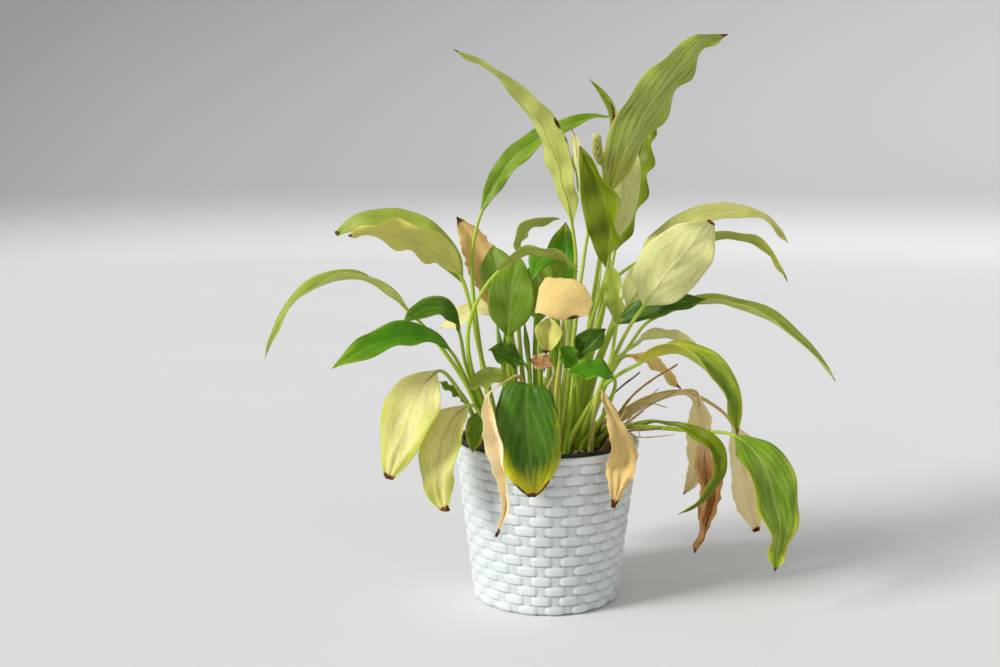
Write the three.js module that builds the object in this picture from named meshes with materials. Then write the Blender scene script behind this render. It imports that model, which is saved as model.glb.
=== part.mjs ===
// A wilting peace lily in a white woven-pattern pot, in millimetres, +Z up.
// The origin is the centre of the pot's underside, and the front of the plant faces -Y.
import * as THREE from "three";

// Clearance between pieces that touch.
const GAP = 0.4;

// The white outer pot, whose wall is moulded as a basket weave.
const POT_HEIGHT = 126;
const POT_RIM_RADIUS = 72.5;
const POT_BASE_RADIUS = 57;
const POT_FOOT_ROUND = 4;
const POT_WALL = 3.4;
const POT_FLOOR = 3;
const RIM_BAND = 5.5;
const RIM_STEP = 0.6;
const WEAVE_ROWS = 15;
const WEAVE_COLUMNS = 34;
const WEAVE_RELIEF = 1.3;
const WEAVE_PHASE = THREE.MathUtils.degToRad(5.3);

// The black grower's pot that stands inside the white one, and the soil that fills it.
const LINER_RIM_HEIGHT = POT_HEIGHT + 2.5;
const LINER_WALL = 1.4;
const LINER_LIP = 1.2;
const LINER_LIP_HEIGHT = 5;
const LINER_SLACK = 1.6;
const ROUND_SIDES = 28;
const SOIL_TOP = 121;
const SOIL_EDGE_DROP = 2;
const SOIL_FLAT_SHARE = 0.86;

// Leaves: petiole and blade sections.
const PETIOLE_FOOT_RADIUS = 2.1;
const PETIOLE_TOP_RADIUS = 1.3;
const PETIOLE_SHOULDER = 0.87;
const PETIOLE_CHANNEL = 0.75;
const BLADE_SKIN = 0.55;
const BLADE_RIB = 0.25;
const BLADE_KEEL = 0.7;
const BLADE_BASE_POWER = 0.7;
const BLADE_TIP_POWER = 0.9;
const BLADE_BLEND = 0.15;
const RIGHT_EDGE = 4;
const PETIOLE_STEP = 28;
const PETIOLE_STEPS = [3, 6];
const BLADE_STEP = 15;
const BLADE_STEPS = [5, 9];
const CURVE_SAMPLES = 400;

// The plant is laid out as it looks from EYE. A layout point is [across, up, depth]:
// across and up are read on the upright plane through the pot's axis, and depth slides
// the point along its line of sight, away from the viewer.
const EYE = new THREE.Vector3(-36.5, -1068, 363);

const LOOKS = {
  fresh: { color: 0x6f9a2a, roughness: 0.55 },
  dark: { color: 0x2f5a1c, roughness: 0.5 },
  pale: { color: 0xa9b463, roughness: 0.6 },
  yellow: { color: 0xd9cc7a, roughness: 0.65 },
  cream: { color: 0xd8c590, roughness: 0.75 },
  dry: { color: 0xa98a5c, roughness: 0.8 },
  stalk: { color: 0xb7a265, roughness: 0.75 },
  flower: { color: 0xb9c279, roughness: 0.7 },
  pot: { color: 0xe6e8e2, roughness: 0.45 },
  liner: { color: 0x141414, roughness: 0.5 },
  soil: { color: 0x241a12, roughness: 0.95 },
};

// Each leaf: name, look, blade width, fold of each half in degrees, the way its upper side
// faces at the base and, where it twists, at the tip, where it leaves the soil [x, y], then
// its petiole's layout points and its midrib's layout points.
const LEAVES = [
  ["tall_left_leaf", "pale", 30, 12, [[0.7, 0.55, 0.3], [0.4, 0.6, 0.7]], [9, 11],
    [[18, 211, 10], [22, 274, 5]],
    [[19, 295, 0], [9, 334, -15], [-6, 371, -30], [-30, 401, -45], [-72, 426, -60]]],
  ["tall_right_leaf", "pale", 38, 14, [[-0.3, 0.8, 0.5]], [20, 7],
    [[32, 211, 5], [42, 281, -5]],
    [[47, 318, -12], [66, 364, -28], [92, 404, -45], [118, 431, -60], [136, 437, -68]]],
  ["wavy_back_leaf", "dark", 34, 16, [[-0.3, -0.85, 0.4]], [17, 31],
    [[40, 211, 50]],
    [[52, 274, 62], [62, 320, 72], [72, 352, 78], [80, 376, 80]]],
  ["pale_back_leaf", "pale", 28, 14, [[0.2, 0.9, 0.3]], [25, 29],
    [[38, 211, 22]],
    [[50, 281, 20], [56, 313, 18], [60, 340, 14], [64, 363, 8]]],
  ["folded_dark_leaf", "dark", 36, 34, [[-0.6, -0.7, 0.3]], [16, -11],
    [[30, 203, -18]],
    [[46, 260, -28], [48, 294, -34], [38, 328, -38], [24, 354, -40]]],
  ["pale_upright_leaf", "pale", 18, 20, [[0.6, 0.7, 0.2]], [12, -4],
    [[26, 253, -8]],
    [[32, 301, -16], [26, 328, -26], [18, 366, -40]]],
  ["left_riser_leaf", "fresh", 20, 16, [[0.2, -0.6, 0.8]], [-40, 17],
    [[-54, 211, 20], [-58, 270, 30]],
    [[-50, 305, 38], [-32, 337, 48], [-6, 359, 56], [22, 372, 62], [48, 376, 66]]],
  ["upper_left_top_leaf", "fresh", 32, 12, [[0.1, -0.6, 0.8]], [-40, 9],
    [[-52, 196, -2]],
    [[-66, 250, 0], [-86, 277, 8], [-114, 293, 14], [-142, 296, 18], [-166, 282, 20]]],
  ["upper_left_under_leaf", "pale", 30, 10, [[0, 0.75, 0.65]], [-35, 0],
    [[-54, 203, -16]],
    [[-68, 256, -26], [-94, 276, -42], [-122, 287, -54], [-154, 285, -64]]],
  ["long_left_leaf", "pale", 19, 34, [[0, 0.15, 1], [-0.4, -0.5, 0.75]], [-44, -5],
    [[-60, 164, -12], [-92, 211, -22]],
    [[-108, 228, -28], [-134, 248, -38], [-166, 250, -48], [-196, 231, -56], [-220, 189, -62]]],
  ["dark_left_upper_leaf", "dark", 19, 14, [[0.7, -0.6, 0.4], [-0.2, -0.6, 0.8]], [-34, -15],
    [[-53, 156, -24], [-66, 196, -32]],
    [[-68, 211, -36], [-75, 224, -40], [-87, 230, -44], [-102, 224, -48], [-113, 215, -52]]],
  ["dark_left_lower_leaf", "dark", 28, 14, [[0, -0.55, 0.85]], [-41, -18],
    [[-56, 157, -34]],
    [[-75, 196, -50], [-88, 205, -60], [-112, 206, -72], [-138, 198, -84], [-168, 181, -92]]],
  ["yellow_hang_left_leaf", "yellow", 44, 8, [[-0.35, -0.9, 0.25]], [-35, -32],
    [[-54, 137, -42], [-68, 164, -54], [-80, 178, -60]],
    [[-86, 179, -63], [-96, 168, -70], [-108, 141, -76], [-118, 114, -80], [-124, 88, -82]]],
  ["yellow_hang_low_leaf", "yellow", 32, 12, [[-0.3, -0.9, 0.2]], [-31, -39],
    [[-46, 137, -56]],
    [[-61, 153, -62], [-74, 141, -68], [-84, 114, -72], [-85, 86, -73], [-77, 61, -72]]],
  ["small_hang_leaf", "fresh", 15, 20, [[-0.2, -0.95, 0.2]], [-25, -34],
    [[-42, 143, -44]],
    [[-52, 147, -50], [-58, 114, -55]]],
  ["small_left_leaf", "fresh", 12, 20, [[-0.1, -0.4, 0.9]], [-43, -26],
    [],
    [[-64, 155, -38], [-86, 171, -42]]],
  ["cream_hang_left_leaf", "cream", 22, 50, [[-0.4, -0.9, 0.1]], [-13, -47],
    [[-20, 166, -52], [-26, 178, -56], [-38, 174, -62]],
    [[-44, 163, -73], [-43, 141, -83], [-36, 110, -86], [-31, 75, -85], [-40, 40, -82]]],
  ["big_front_leaf", "dark", 48, 8, [[0, -0.3, 0.95], [0, -0.97, 0.25]], [-1, -47],
    [[-2, 149, -50], [-6, 162, -53]],
    [[-10, 168, -57], [-14, 170, -65], [-16, 156, -72], [-14, 125, -76], [-12, 98, -77], [-11, 76, -75]]],
  ["olive_mid_leaf", "pale", 18, 26, [[0, -0.7, 0.7]], [-18, -26],
    [[-22, 157, -35]],
    [[-30, 173, -42], [-46, 173, -48], [-62, 166, -52]]],
  ["cream_hang_right_leaf", "cream", 32, 16, [[0.2, -0.4, 0.9], [0.2, -0.95, 0.2]], [32, -39],
    [[37, 146, -43], [41, 160, -47]],
    [[43, 165, -53], [46, 158, -61], [51, 141, -65], [59, 114, -68], [57, 90, -69], [50, 66, -68]]],
  ["right_low_curl_leaf", "fresh", 18, 22, [[0, -0.5, 0.85], [0.5, -0.8, -0.5]], [39, -5],
    [[50, 133, -14]],
    [[66, 138, -22], [90, 138, -34], [114, 132, -44], [132, 118, -52], [136, 102, -56], [128, 82, -60],
      [104, 64, -64]]],
  ["right_big_hang_leaf", "dark", 42, 12, [[0.4, -0.85, 0.35]], [33, 12],
    [[60, 135, 2], [110, 132, -18]],
    [[148, 128, -32], [164, 114, -44], [178, 86, -54], [185, 55, -60], [182, 17, -64]]],
  ["dry_brown_hang_leaf", "dry", 26, 24, [[0.3, -0.9, 0.1]], [39, 17],
    [[72, 150, 10], [104, 162, 5], [118, 157, 3]],
    [[122, 137, 0], [124, 110, -3], [128, 79, -5], [124, 55, -5], [118, 32, -5]]],
  ["cream_back_1_leaf", "cream", 24, 20, [[-0.3, -0.9, 0.2]], [33, 27],
    [[72, 153, 34], [106, 163, 38]],
    [[118, 161, 40], [120, 133, 42], [120, 102, 44], [108, 80, 44]]],
  ["cream_back_2_leaf", "cream", 32, 16, [[0.3, -0.9, 0.2]], [37, 34],
    [[76, 157, 48], [106, 163, 56], [130, 153, 60]],
    [[146, 137, 64], [154, 110, 68], [158, 79, 72], [168, 47, 74]]],
  ["right_arch_leaf", "pale", 32, 34, [[0, 0.3, 0.95], [0.5, -0.8, 0.4]], [15, -29],
    [[40, 163, -28]],
    [[72, 186, -40], [98, 194, -52], [122, 182, -64], [140, 160, -74], [150, 128, -80]]],
  ["right_arch_back_leaf", "pale", 20, 40, [[0.1, 0.2, 1]], [31, -6],
    [[50, 186, -8]],
    [[66, 199, -14], [90, 206, -22], [114, 198, -30], [130, 183, -36]]],
  ["dark_right_leaf", "dark", 18, 10, [[0, -0.9, 0.4]], [23, -1],
    [[39, 188, -12]],
    [[54, 217, -20], [83, 230, -28], [124, 236, -34]]],
  ["long_right_leaf", "pale", 20, 38, [[0, 0.1, 1], [0.4, -0.6, 0.7]], [29, 5],
    [[50, 178, 0], [66, 202, -4]],
    [[80, 220, -8], [118, 232, -16], [160, 225, -24], [192, 206, -30], [226, 171, -36]]],
  ["pale_face_leaf", "pale", 50, 8, [[0.3, 0.75, 0.6]], [23, -9],
    [[48, 180, -18], [67, 220, -28]],
    [[75, 231, -36], [91, 254, -48], [110, 277, -60], [128, 298, -70]]],
  ["pale_top_right_leaf", "pale", 26, 14, [[0.1, -0.5, 0.9]], [23, 37],
    [[48, 211, 48]],
    [[72, 267, 56], [88, 283, 66], [120, 298, 76], [158, 302, 84], [186, 279, 88]]],
  ["thin_right_leaf", "pale", 20, 34, [[0, 0.2, 1]], [21, 15],
    [[40, 219, 15], [54, 254, 17]],
    [[72, 266, 20], [102, 275, 25], [142, 283, 30], [168, 272, 34], [186, 249, 36]]],
  ["pale_mid_right_leaf", "pale", 30, 12, [[0.3, 0.8, 0.5]], [26, 21],
    [[46, 199, 18]],
    [[62, 231, 12], [72, 246, 6], [84, 259, 0], [96, 272, -6]]],
  ["bud_leaf", "fresh", 22, 34, [[-0.7, -0.7, 0.2]], [22, -22],
    [[42, 168, -38], [51, 194, -44]],
    [[54, 217, -47], [56, 235, -50], [53, 250, -52], [47, 266, -52]]],
  ["tan_center_leaf", "dry", 28, 3, [[-0.8, 0.5, 0.2], [-0.4, -0.95, 0.2]], [4, -33],
    [[8, 172, -32], [12, 205, -30], [11, 228, -42]],
    [[6, 236, -47], [-4, 239, -52], [-6, 239, -64], [8, 237, -73], [24, 233, -75], [38, 226, -73]]],
  ["arch_green_leaf", "fresh", 20, 26, [[0, 0.3, 1]], [-35, -24],
    [[-62, 199, -46], [-54, 235, -48]],
    [[-38, 258, -49], [-22, 268, -50], [2, 270, -51], [24, 257, -50]]],
  ["broad_left_leaf", "fresh", 30, 12, [[-0.2, -0.9, 0.4]], [-21, 8],
    [[-28, 196, 14]],
    [[-32, 235, 22], [-38, 258, 30], [-42, 277, 42]]],
  ["broad_mid_leaf", "fresh", 36, 10, [[0, -0.95, 0.3]], [-15, -8],
    [[-28, 172, -10]],
    [[-30, 207, -8], [-28, 235, -4], [-26, 254, 2], [-22, 270, 12]]],
  ["broad_right_leaf", "fresh", 26, 8, [[0, 0.5, 0.85], [0, -0.9, 0.4]], [-5, 0],
    [[4, 203, 8]],
    [[5, 234, 14], [4, 256, 12], [0, 270, 0], [-6, 266, -14], [-12, 250, -22]]],
  ["curl_top_leaf", "pale", 18, 14, [[-0.8, 0.5, 0.3], [0, 0.5, 0.85]], [-13, 16],
    [[-22, 211, 24]],
    [[-22, 270, 34], [-18, 287, 38], [-6, 295, 40], [10, 298, 40]]],
  ["olive_back_leaf", "dark", 28, 14, [[0, -0.95, 0.2]], [8, 23],
    [[6, 203, 30]],
    [[8, 235, 38], [10, 262, 46], [14, 296, 54]]],
  ["pink_dry_leaf", "dry", 34, 14, [[0.3, -0.9, 0.3]], [-27, 30],
    [[-32, 199, 44]],
    [[-34, 223, 52], [-46, 254, 62], [-58, 281, 70], [-70, 300, 74]]],
  ["pale_left_back_leaf", "yellow", 24, 16, [[0, -0.6, 0.8]], [-24, 38],
    [[-26, 203, 50]],
    [[-34, 225, 60], [-52, 227, 68], [-84, 212, 74]]],
  ["cream_fold_leaf", "cream", 22, 28, [[0, -0.95, 0.2]], [9, -26],
    [[10, 180, -24], [15, 214, -20], [14, 230, -22], [8, 236, -27], [4, 230, -32]],
    [[3, 222, -35], [1, 209, -37], [-1, 193, -38]]],
  ["dark_low_leaf", "dark", 24, 16, [[0, -0.6, 0.8]], [-10, -19],
    [[-12, 164, -24]],
    [[-18, 186, -28], [-32, 191, -32], [-46, 196, -36]]],
  ["green_low_leaf", "fresh", 18, 18, [[0, -0.8, 0.6]], [12, -42],
    [[19, 156, -40]],
    [[20, 182, -38], [10, 199, -42]]],
  ["green_flat_leaf", "fresh", 22, 18, [[0, -0.6, 0.8]], [26, -26],
    [[50, 156, -42]],
    [[52, 175, -53], [34, 179, -57], [16, 178, -60]]],
  ["dark_right_mid_leaf", "dark", 26, 28, [[-0.4, -0.7, 0.6]], [25, -15],
    [[24, 164, -25]],
    [[23, 188, -28], [34, 199, -31], [46, 213, -32]]],
  ["brown_bit_leaf", "dry", 14, 20, [[0, -0.7, 0.7]], [-3, -28],
    [[0, 164, -23]],
    [[4, 183, -25], [-14, 189, -28]]],
  ["tan_behind_right_leaf", "dry", 16, 24, [[0, -0.6, 0.8]], [31, 39],
    [[48, 176, 44]],
    [[64, 192, 48], [80, 186, 52], [106, 164, 54]]],
  ["back_hang_leaf", "pale", 38, 10, [[0.1, 0.95, 0.25]], [1, 44],
    [[-2, 168, 62]],
    [[-2, 174, 78], [-2, 157, 98], [0, 118, 104], [2, 79, 104]]],
  ["back_rise_leaf", "fresh", 36, 12, [[-0.2, -0.9, 0.4]], [-6, 47],
    [[-6, 188, 64]],
    [[-6, 219, 76], [-6, 242, 88], [-8, 267, 100]]],
];

// The flower: a stalk that ends in a thick spike, and the leaf-like hood behind the spike.
const FLOWER_FOOT = [16, 14];
const FLOWER_STALK = [[38, 234, 8], [42, 312, 6], [42, 340, 5]];
const SPIKE = [[38, 349, 0], [37, 362, -2]];
const SPIKE_RADIUS = 4.6;
const SPIKE_TAPER = 0.35;
const SPIKE_SHARES = [0.06, 0.35, 0.65, 0.9];
const FLOWER_STALK_RADIUS = 1.9;
const FLOWER_STALK_SHARES = [0, 0.2, 0.4, 0.6, 0.8, 0.995];
const HOOD = [[44, 336, 8], [50, 352, 14], [51, 375, 18], [43, 391, 17], [30, 405, 14]];
const HOOD_WIDTH = 9;
const HOOD_FOLD = 30;
const HOOD_FACES = [[-0.5, -0.8, 0.2]];

// Dry stalks whose leaves are gone: name, radius, where it leaves the soil, layout points.
const DRY_STALKS = [
  ["brown_stalk", 1.2, [41, 5], [[47, 155, 3], [73, 179, 1]]],
  ["ochre_stalk", 1.4, [45, 23], [[71, 164, 21], [102, 185, 19]]],
  ["rim_twig", 1.3, [44, -14], [[60, 131, -14], [72, 132, -14], [90, 134, -20]]],
];

const STALK_TAPER = 0.4;
const STALK_SHARES = [0, 0.25, 0.5, 0.75, 0.97];

// A layout point as a point in space.
function place([across, up, depth]) {
  const seen = new THREE.Vector3(across, 0, up);
  return seen.sub(EYE).multiplyScalar((depth - EYE.y) / -EYE.y).add(EYE);
}

function materialFor(look) {
  return new THREE.MeshStandardMaterial({ ...LOOKS[look], metalness: 0 });
}

function named(name, geometry, look) {
  const mesh = new THREE.Mesh(geometry, materialFor(look));
  mesh.name = name;
  return mesh;
}

// A solid skin over rings of points that all run the same way round; tip closes the far end.
// The faces below a leaf are split the same way as those above them, so a twist can't cross them.
function loft(rings, tip) {
  const sides = rings[0].length;
  const points = [...rings.flat(), tip];
  const faces = [];
  for (let j = 1; j < sides - 1; j++) faces.push(0, j + 1, j);
  for (let i = 0; i < rings.length - 1; i++) {
    for (let j = 0; j < sides; j++) {
      const a = i * sides + j;
      const b = i * sides + ((j + 1) % sides);
      if (j < RIGHT_EDGE) faces.push(a, b, b + sides, a, b + sides, a + sides);
      else faces.push(a, b, a + sides, b, b + sides, a + sides);
    }
  }
  const last = (rings.length - 1) * sides;
  for (let j = 0; j < sides; j++) {
    faces.push(last + j, last + ((j + 1) % sides), points.length - 1);
  }
  const geometry = new THREE.BufferGeometry().setFromPoints(points);
  geometry.setIndex(faces);
  geometry.computeVertexNormals();
  return geometry;
}

// Six points of a leaf's section: edge, half, rib, half and edge on top, and the keel below.
function section(centre, across, normal, shape) {
  const rise = Math.sin(shape.fold) * shape.half;
  const reach = Math.cos(shape.fold) * shape.half;
  const at = (a, n) => centre.clone().addScaledVector(across, a).addScaledVector(normal, n);
  return [
    at(-reach, rise),
    at(-reach / 2, rise / 2 + shape.skin),
    at(0, shape.rib),
    at(reach / 2, rise / 2 + shape.skin),
    at(reach, rise),
    at(0, -shape.keel),
  ];
}

function petioleShape(radius) {
  const skin = radius * PETIOLE_SHOULDER;
  const rib = radius * PETIOLE_CHANNEL;
  return { half: radius, fold: 0, skin, rib, keel: radius };
}

// The blade's section at share s of its length, drawn from the petiole's own section.
function bladeShape(s, width, fold) {
  const widest = BLADE_BASE_POWER / (BLADE_BASE_POWER + BLADE_TIP_POWER);
  const grow = Math.pow(s / widest, BLADE_BASE_POWER);
  const taper = Math.pow((1 - s) / (1 - widest), BLADE_TIP_POWER);
  const blend = THREE.MathUtils.smoothstep(s, 0, BLADE_BLEND);
  const stem = petioleShape(PETIOLE_TOP_RADIUS);
  return {
    half: Math.max(stem.half, (width / 2) * grow * taper),
    fold: fold * blend,
    skin: THREE.MathUtils.lerp(stem.skin, BLADE_SKIN, blend),
    rib: THREE.MathUtils.lerp(stem.rib, BLADE_RIB, blend),
    keel: THREE.MathUtils.lerp(stem.keel, BLADE_KEEL, blend),
  };
}

// The share of a curve's length at which it passes its control point number index.
function shareAt(curve, index) {
  const lengths = curve.getLengths(CURVE_SAMPLES);
  const step = Math.round((CURVE_SAMPLES * index) / (curve.points.length - 1));
  return lengths[step] / lengths[CURVE_SAMPLES];
}

function stepsFor(length, step, [least, most]) {
  return THREE.MathUtils.clamp(Math.round(length / step), least, most);
}

// A blade's rings along the curve from share start to its end.
function bladeRings(curve, start, width, fold, faces) {
  const length = curve.getLength() * (1 - start);
  const steps = stepsFor(length, BLADE_STEP, BLADE_STEPS);
  const baseFace = new THREE.Vector3(...faces[0]);
  const tipFace = new THREE.Vector3(...faces[faces.length - 1]);
  const rings = [];
  for (let k = 0; k < steps; k++) {
    const share = start + ((1 - start) * k) / steps;
    const along = curve.getTangentAt(share);
    const facing = baseFace.clone().lerp(tipFace, k / steps);
    const across = new THREE.Vector3().crossVectors(along, facing).normalize();
    const normal = new THREE.Vector3().crossVectors(across, along);
    const shape = bladeShape(k / steps, width, fold);
    rings.push({ across, points: section(curve.getPointAt(share), across, normal, shape) });
  }
  return rings;
}

// A petiole's rings from the soil up to share end, turned to meet the blade's first ring.
function petioleRings(curve, end, firstAcross) {
  const steps = stepsFor(curve.getLength() * end, PETIOLE_STEP, PETIOLE_STEPS);
  const across = firstAcross.clone();
  const rings = [];
  for (let k = steps - 1; k >= 0; k--) {
    const share = (end * k) / steps;
    const along = curve.getTangentAt(share);
    across.addScaledVector(along, -across.dot(along)).normalize();
    const normal = new THREE.Vector3().crossVectors(across, along);
    const radius = THREE.MathUtils.lerp(PETIOLE_FOOT_RADIUS, PETIOLE_TOP_RADIUS, k / steps);
    rings.unshift(section(curve.getPointAt(share), across, normal, petioleShape(radius)));
  }
  for (const point of rings[0]) point.z = SOIL_TOP + GAP;
  return rings;
}

function onSoil([x, y]) {
  return new THREE.Vector3(x, y, SOIL_TOP + GAP);
}

function leaf([name, look, width, foldDegrees, faces, foot, petiole, midrib]) {
  const curve = new THREE.CatmullRomCurve3([onSoil(foot), ...petiole.map(place), ...midrib.map(place)]);
  const bladeStart = shareAt(curve, petiole.length + 1);
  const fold = THREE.MathUtils.degToRad(foldDegrees);
  const blade = bladeRings(curve, bladeStart, width, fold, faces);
  const stem = petioleRings(curve, bladeStart, blade[0].across);
  const rings = [...stem, ...blade.map((ring) => ring.points)];
  return named(name, loft(rings, curve.getPointAt(1)), look);
}

// A hexagonal stem with a radius for each share of its length; its foot is cut flat on the soil.
function stem(curve, shares, radiusAt) {
  const across = new THREE.Vector3(1, 0, 0);
  const rings = shares.map((share) => {
    const along = curve.getTangentAt(share);
    across.addScaledVector(along, -across.dot(along)).normalize();
    const normal = new THREE.Vector3().crossVectors(across, along);
    return section(curve.getPointAt(share), across, normal, petioleShape(radiusAt(share)));
  });
  for (const point of rings[0]) point.z = SOIL_TOP + GAP;
  return loft(rings, curve.getPointAt(1));
}

function dryStalk([name, radius, foot, route]) {
  const curve = new THREE.CatmullRomCurve3([onSoil(foot), ...route.map(place)]);
  const radiusAt = (share) => radius * (1 - STALK_TAPER * share);
  return named(name, stem(curve, STALK_SHARES, radiusAt), "stalk");
}

function flowerStalk() {
  const route = [...FLOWER_STALK, ...SPIKE];
  const curve = new THREE.CatmullRomCurve3([onSoil(FLOWER_FOOT), ...route.map(place)]);
  const spikeStart = shareAt(curve, FLOWER_STALK.length);
  const shares = FLOWER_STALK_SHARES.map((share) => share * spikeStart);
  const spikeShares = SPIKE_SHARES.map((share) => spikeStart + (1 - spikeStart) * share);
  const radiusAt = (share) => {
    if (share <= spikeStart) return FLOWER_STALK_RADIUS;
    const along = (share - spikeStart) / (1 - spikeStart);
    return SPIKE_RADIUS * (1 - SPIKE_TAPER * along);
  };
  return named("flower_stalk", stem(curve, [...shares, ...spikeShares], radiusAt), "flower");
}

function flowerHood() {
  const curve = new THREE.CatmullRomCurve3(HOOD.map(place));
  const fold = THREE.MathUtils.degToRad(HOOD_FOLD);
  const rings = bladeRings(curve, 0, HOOD_WIDTH, fold, HOOD_FACES).map((ring) => ring.points);
  return named("flower_hood", loft(rings, curve.getPointAt(1)), "flower");
}

function turned(profile, sides, start) {
  const points = profile.map(([radius, height]) => new THREE.Vector2(radius, height));
  return new THREE.LatheGeometry(points, sides, start).rotateX(Math.PI / 2);
}

function potRadius(height) {
  return THREE.MathUtils.lerp(POT_BASE_RADIUS, POT_RIM_RADIUS, height / POT_HEIGHT);
}

// The pot is turned, then each woven bump is pushed out of the wall, every other one along a row.
function pot() {
  const weaveTop = POT_HEIGHT - RIM_BAND;
  const rowHeight = weaveTop / WEAVE_ROWS;
  const profile = [[0, 0], [POT_BASE_RADIUS - POT_FOOT_ROUND, 0]];
  for (let row = 0; row < WEAVE_ROWS; row++) {
    const groove = rowHeight * row;
    const middle = groove + rowHeight / 2;
    if (row > 0) profile.push([potRadius(groove) - WEAVE_RELIEF, groove]);
    profile.push([potRadius(middle) - WEAVE_RELIEF, middle]);
  }
  const inside = (height) => potRadius(height) - POT_WALL - WEAVE_RELIEF / 2;
  profile.push([POT_RIM_RADIUS - WEAVE_RELIEF, weaveTop], [POT_RIM_RADIUS, weaveTop + RIM_STEP]);
  profile.push([POT_RIM_RADIUS, POT_HEIGHT], [inside(POT_HEIGHT), POT_HEIGHT]);
  profile.push([inside(POT_FLOOR), POT_FLOOR], [0, POT_FLOOR]);
  const geometry = turned(profile, WEAVE_COLUMNS, WEAVE_PHASE);
  const position = geometry.attributes.position;
  for (let column = 0; column <= WEAVE_COLUMNS; column++) {
    for (let row = 0; row < WEAVE_ROWS; row++) {
      if ((row + column) % 2) continue;
      const i = column * profile.length + 2 * row + 2;
      const share = 1 + WEAVE_RELIEF / Math.hypot(position.getX(i), position.getY(i));
      position.setXY(i, position.getX(i) * share, position.getY(i) * share);
    }
  }
  return named("pot", geometry, "pot");
}

// The liner's outer radius follows the pot's inner wall with some slack.
function linerRadius(height) {
  return potRadius(height) - POT_WALL - WEAVE_RELIEF / 2 - LINER_SLACK;
}

function liner() {
  const foot = POT_FLOOR + GAP;
  const lipUnder = LINER_RIM_HEIGHT - LINER_LIP_HEIGHT;
  const inner = linerRadius(lipUnder) - LINER_WALL;
  const profile = [[0, foot], [linerRadius(foot), foot], [linerRadius(lipUnder), lipUnder]];
  profile.push([linerRadius(lipUnder) + LINER_LIP, lipUnder]);
  profile.push([linerRadius(lipUnder) + LINER_LIP, LINER_RIM_HEIGHT], [inner, LINER_RIM_HEIGHT]);
  profile.push([linerRadius(foot) - LINER_WALL, foot + LINER_WALL], [0, foot + LINER_WALL]);
  return named("grower_pot", turned(profile, ROUND_SIDES, 0), "liner");
}

function soil() {
  const foot = POT_FLOOR + LINER_WALL + 2 * GAP;
  const edge = SOIL_TOP - SOIL_EDGE_DROP;
  const inside = (height) => linerRadius(height) - LINER_WALL - 3 * GAP;
  const profile = [[0, foot], [inside(foot), foot], [inside(edge), edge]];
  profile.push([inside(edge) * SOIL_FLAT_SHARE, SOIL_TOP], [0, SOIL_TOP]);
  return named("soil", turned(profile, ROUND_SIDES, 0), "soil");
}

const plant = new THREE.Group();
plant.add(pot(), liner(), soil());
for (const row of LEAVES) plant.add(leaf(row));
plant.add(flowerStalk(), flowerHood());
for (const row of DRY_STALKS) plant.add(dryStalk(row));

export default plant;
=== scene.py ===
# The looks of a wilting peace lily in a white woven-pattern pot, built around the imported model.
# Lengths are in metres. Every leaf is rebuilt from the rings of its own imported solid.
import math

import bpy
import numpy as np
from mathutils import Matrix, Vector


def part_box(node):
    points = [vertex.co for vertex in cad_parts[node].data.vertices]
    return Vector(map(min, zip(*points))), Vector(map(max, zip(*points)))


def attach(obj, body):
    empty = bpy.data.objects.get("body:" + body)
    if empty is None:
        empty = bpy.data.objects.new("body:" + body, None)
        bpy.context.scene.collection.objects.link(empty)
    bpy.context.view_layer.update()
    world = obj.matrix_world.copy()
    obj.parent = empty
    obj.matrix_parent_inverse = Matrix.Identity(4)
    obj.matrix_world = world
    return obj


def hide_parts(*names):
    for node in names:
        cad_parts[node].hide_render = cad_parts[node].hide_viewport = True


MM = 0.001
SEED = 11
FULL_TURN = 2 * math.pi
# Random waves start anywhere within about a turn.
ANY_PHASE = 6.3
# Their pitches, as shares of the finest one.
RIPPLE_PITCHES = (0.35, 1)
# A direction that no tube starts along.
ASKEW = [0.3, 0.9, 0.2]
TINY = 1e-12
BLACK = (0, 0, 0, 1)

# Camera, as the photograph was taken. The photograph is 1000 by 667 pixels.
CAMERA_PLACE = (-36.5 * MM, -1068 * MM, 363 * MM)
CAMERA_TILT_DOWN = 8.2
CAMERA_LENS = 50
CAMERA_SENSOR = 36

# Stage. The floor is flat out to a distance, then curves up all round to hide the horizon.
FLOOR_FLAT = 2.9
FLOOR_CENTRE = FLOOR_FLAT / 100
FLOOR_CURVE = 0.9
FLOOR_RINGS = 16
FLOOR_SIDES = 96
FLOOR_TONES = [(227, 228, 229), (232, 232, 232)]
# Painted shade: the floor turns to this grey as it rises into its curved wall, between these heights.
FLOOR_WALL_SHADE = (182, 182, 183)
FLOOR_SHADE_RISE = (0.0, 0.2)
# Each broad light: the way it comes from, how wide it looks in degrees, and its strength.
LIGHTS = {
    "window": [(-3.0, -1.6, 1.9), 20, 2.9],
    "fill": [(1.2, -1.8, 1.1), 40, 0.16],
}
SKY = (222, 221, 220)
SKY_STRENGTH = 0.62

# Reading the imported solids. Each ring of a leaf has six points, which run: left edge, left half, rib,
# right half, right edge, keel.
RING_POINTS = 6
LEFT_EDGE = 0
RIB = 2
RIGHT_EDGE = 4
KEEL = 5
MERGE = 1e-6
FOOT_GAP = 0.4 * MM

# Numbers that each point of a leaf keeps for its material to read.
LEAF_FLAGS = ["along", "across", "under", "stem", "age", "scorch", "lines", "open"]

# Blade meshes.
BLADE_STEP = 1.25 * MM
BLADE_ROWS = (40, 112)
BLADE_COLUMNS = 21
COARSE_COLUMNS = 5
BLADE_END = 0.995
BLADE_THICK = 0.5 * MM
MARGIN_THINNER = 0.5
MIDDLE_COLUMN = BLADE_COLUMNS // 2
# The shares of a blade's length over which changes to its width, age and scorching set in.
SLIM_OVER = (0.3, 0.8)
FULL_OVER = (0.45, 0.8)
THIN_OVER = (0.45, 0.7)
EDGE_OVER = (0.1, 0.5)
FAR_OVER = (0.55, 1.0)
NEAR_OVER = (0.5, 1.0)
BURN_OVER = (0.75, 0.92)
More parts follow.
